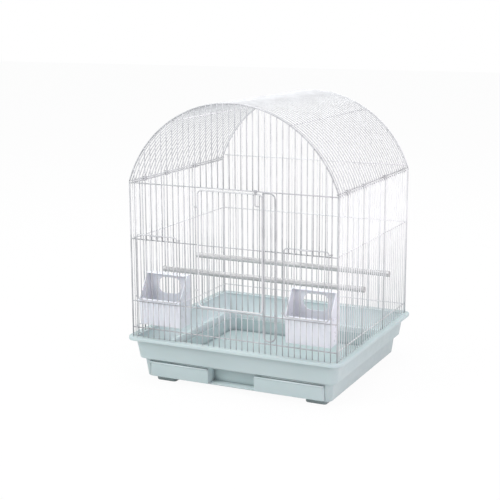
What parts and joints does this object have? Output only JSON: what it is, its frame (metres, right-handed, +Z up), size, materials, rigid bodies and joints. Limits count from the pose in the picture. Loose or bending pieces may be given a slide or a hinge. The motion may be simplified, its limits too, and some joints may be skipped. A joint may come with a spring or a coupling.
{
  "type": "bird cage",
  "caption": "Dome-top wire bird cage on a tapered plastic base with slide-out drawer, swing door, lift-up cup doors, hooded cups and perches.",
  "frame": {"origin": "middle of the footprint, level with the underside of the feet", "axes": "+Z up, front with the main door towards -Y, +X to the right seen from the front"},
  "size_m": [0.4812, 0.4432, 0.5933],
  "materials": {
    "white_wire": "gloss white coated wire",
    "clip_metal": "gloss white coated strip",
    "base_plastic": "pale green moulded plastic, semi-gloss",
    "cup_plastic": "pale lilac white moulded plastic",
    "perch_wood": "plain turned dowel"
  },
  "bodies": {
    "cage": {"base_tray": "base_plastic", "front_frame": "white_wire", "front_uprights": "white_wire", "front_rails": "white_wire", "front_top_rail": "white_wire", "door_hairpin": "white_wire", "back_frame": "white_wire", "back_uprights": "white_wire", "back_rails": "white_wire", "left_uprights": "white_wire", "left_rails": "white_wire", "right_uprights": "white_wire", "right_rails": "white_wire", "roof_arches": "white_wire", "roof_rails": "white_wire", "roof_clips": "clip_metal", "cup_left": "cup_plastic", "cup_right": "cup_plastic", "perch_front": "perch_wood", "perch_back": "perch_wood"},
    "drawer": {"drawer": "base_plastic"},
    "main_door": {"main_door": "white_wire", "main_door_bars": "white_wire"},
    "door_latch": {"door_latch": "white_wire"},
    "cup_door_left": {"cup_door_left": "white_wire", "cup_door_left_bars": "white_wire"},
    "cup_door_right": {"cup_door_right": "white_wire", "cup_door_right_bars": "white_wire"}
  },
  "joints": [
    {"name": "drawer_slide", "type": "slide", "parent": "cage", "child": "drawer", "axis": [0, -1, 0], "range_m": [0, 0.33]},
    {"name": "main_door_hinge", "type": "hinge", "parent": "cage", "child": "main_door", "pos_m": [-0.0762, -0.20955, 0.3], "axis": [0, 0, -1], "range_deg": [0, 110]},
    {"name": "door_latch_turn", "type": "hinge", "parent": "cage", "child": "door_latch", "pos_m": [0.05715, -0.21185, 0.425], "axis": [-1, 0, 0], "range_deg": [0, 120]},
    {"name": "cup_door_left_lift", "type": "slide", "parent": "cage", "child": "cup_door_left", "axis": [0, 0, 1], "range_m": [0, 0.095]},
    {"name": "cup_door_right_lift", "type": "slide", "parent": "cage", "child": "cup_door_right", "axis": [0, 0, 1], "range_m": [0, 0.095]}
  ]
}
